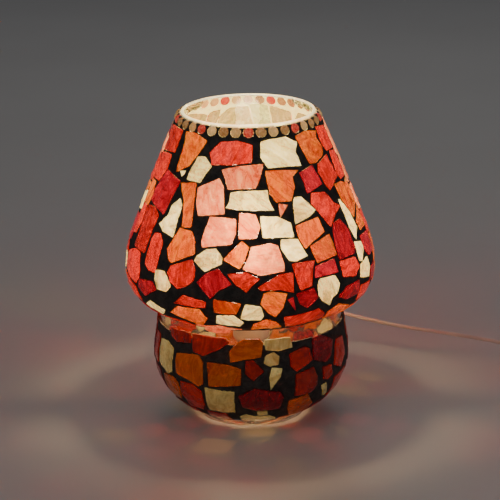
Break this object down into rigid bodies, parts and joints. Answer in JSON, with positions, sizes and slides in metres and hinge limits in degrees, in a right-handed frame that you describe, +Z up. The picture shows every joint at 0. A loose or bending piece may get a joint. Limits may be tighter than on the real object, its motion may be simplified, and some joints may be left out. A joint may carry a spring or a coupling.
{
  "type": "mosaic glass table lamp",
  "caption": "Table lamp with a blown glass body, round base and open bell shade, covered in coloured glass chips set in black grout, with a bulb, cord, rocker switch and plug.",
  "frame": {"origin": "centre of the glass foot, on the surface that the lamp stands on", "axes": "+Z up through the open top of the shade, front is -Y, the cord leaves through the back, +Y"},
  "size_m": [0.3917, 0.2039, 0.2387],
  "materials": {
    "clear_glass": "clear blown glass",
    "red_glass": "streaky translucent red glass",
    "crimson_glass": "translucent crimson glass",
    "orange_glass": "translucent orange glass",
    "cream_glass": "pale cream glass",
    "pink_glass": "pale pink-red glass",
    "amber_glass": "amber glass dot",
    "grout": "black grout, slightly rough",
    "spring_steel": "satin",
    "soft_rubber": "matte",
    "clear_silicone": "soft, slightly clouded silicone",
    "holder_plastic": "satin moulded",
    "core_plastic": "matte moulded",
    "terminal_brass": "satin",
    "small_steel": "zinc plated",
    "cord_jacket": "pale translucent jacket",
    "tie_plastic": "soft strap",
    "switch_plastic": "moulded, fine texture",
    "rocker_plastic": "moulded",
    "plug_plastic": "moulded",
    "plug_metal": "nickel plated brass",
    "frosted_glass": "frosted",
    "cap_metal": "satin",
    "black_insulator": "vitrite",
    "solder_metal": "soldered",
    "stem_glass": "clear",
    "filament": "phosphor coated",
    "filament_frame": "plain"
  },
  "bodies": {
    "lamp": {"base_chips_cream": "cream_glass", "base_chips_crimson": "crimson_glass", "base_chips_orange": "orange_glass", "base_chips_pink": "pink_glass", "base_chips_red": "red_glass", "base_grout": "grout", "centre_contact": "terminal_brass", "coil_tie": "tie_plastic", "cord_coil": "cord_jacket", "cord_grommet": "soft_rubber", "cord_inside": "cord_jacket", "cord_line": "cord_jacket", "cord_link": "cord_jacket", "cord_tail": "cord_jacket", "glass_body": "clear_glass", "holder_cap": "holder_plastic", "holder_core": "core_plastic", "holder_skirt": "holder_plastic", "holder_strip": "spring_steel", "holder_terminals": "terminal_brass", "plug_body": "plug_plastic", "plug_pins": "plug_metal", "plug_relief": "plug_plastic", "rim_beads_amber": "amber_glass", "rim_beads_red": "red_glass", "shade_chips_cream": "cream_glass", "shade_chips_crimson": "crimson_glass", "shade_chips_orange": "orange_glass", "shade_chips_pink": "pink_glass", "shade_chips_red": "red_glass", "shade_grout": "grout", "shade_ring": "holder_plastic", "strip_pads": "clear_silicone", "switch_blocks": "terminal_brass", "switch_contacts": "terminal_brass", "switch_lower_case": "switch_plastic", "switch_pin": "small_steel", "switch_screws": "small_steel", "switch_upper_case": "switch_plastic", "terminal_screws": "small_steel", "threaded_shell": "terminal_brass"},
    "bulb": {"bulb_cap": "cap_metal", "bulb_contact": "solder_metal", "bulb_envelope": "frosted_glass", "bulb_filament_frame": "filament_frame", "bulb_filaments": "filament", "bulb_insulator": "black_insulator", "bulb_stem": "stem_glass"},
    "rocker": {"switch_rocker": "rocker_plastic"}
  },
  "joints": [
    {"name": "bulb_lift", "type": "slide", "parent": "lamp", "child": "bulb", "axis": [0, 0, 1], "range_m": [0, 0.165]},
    {"name": "rocker_tilt", "type": "hinge", "parent": "lamp", "child": "rocker", "pos_m": [0.246, 0.016, 0.0146], "axis": [1, 0, 0], "range_deg": [-16, 0]}
  ]
}
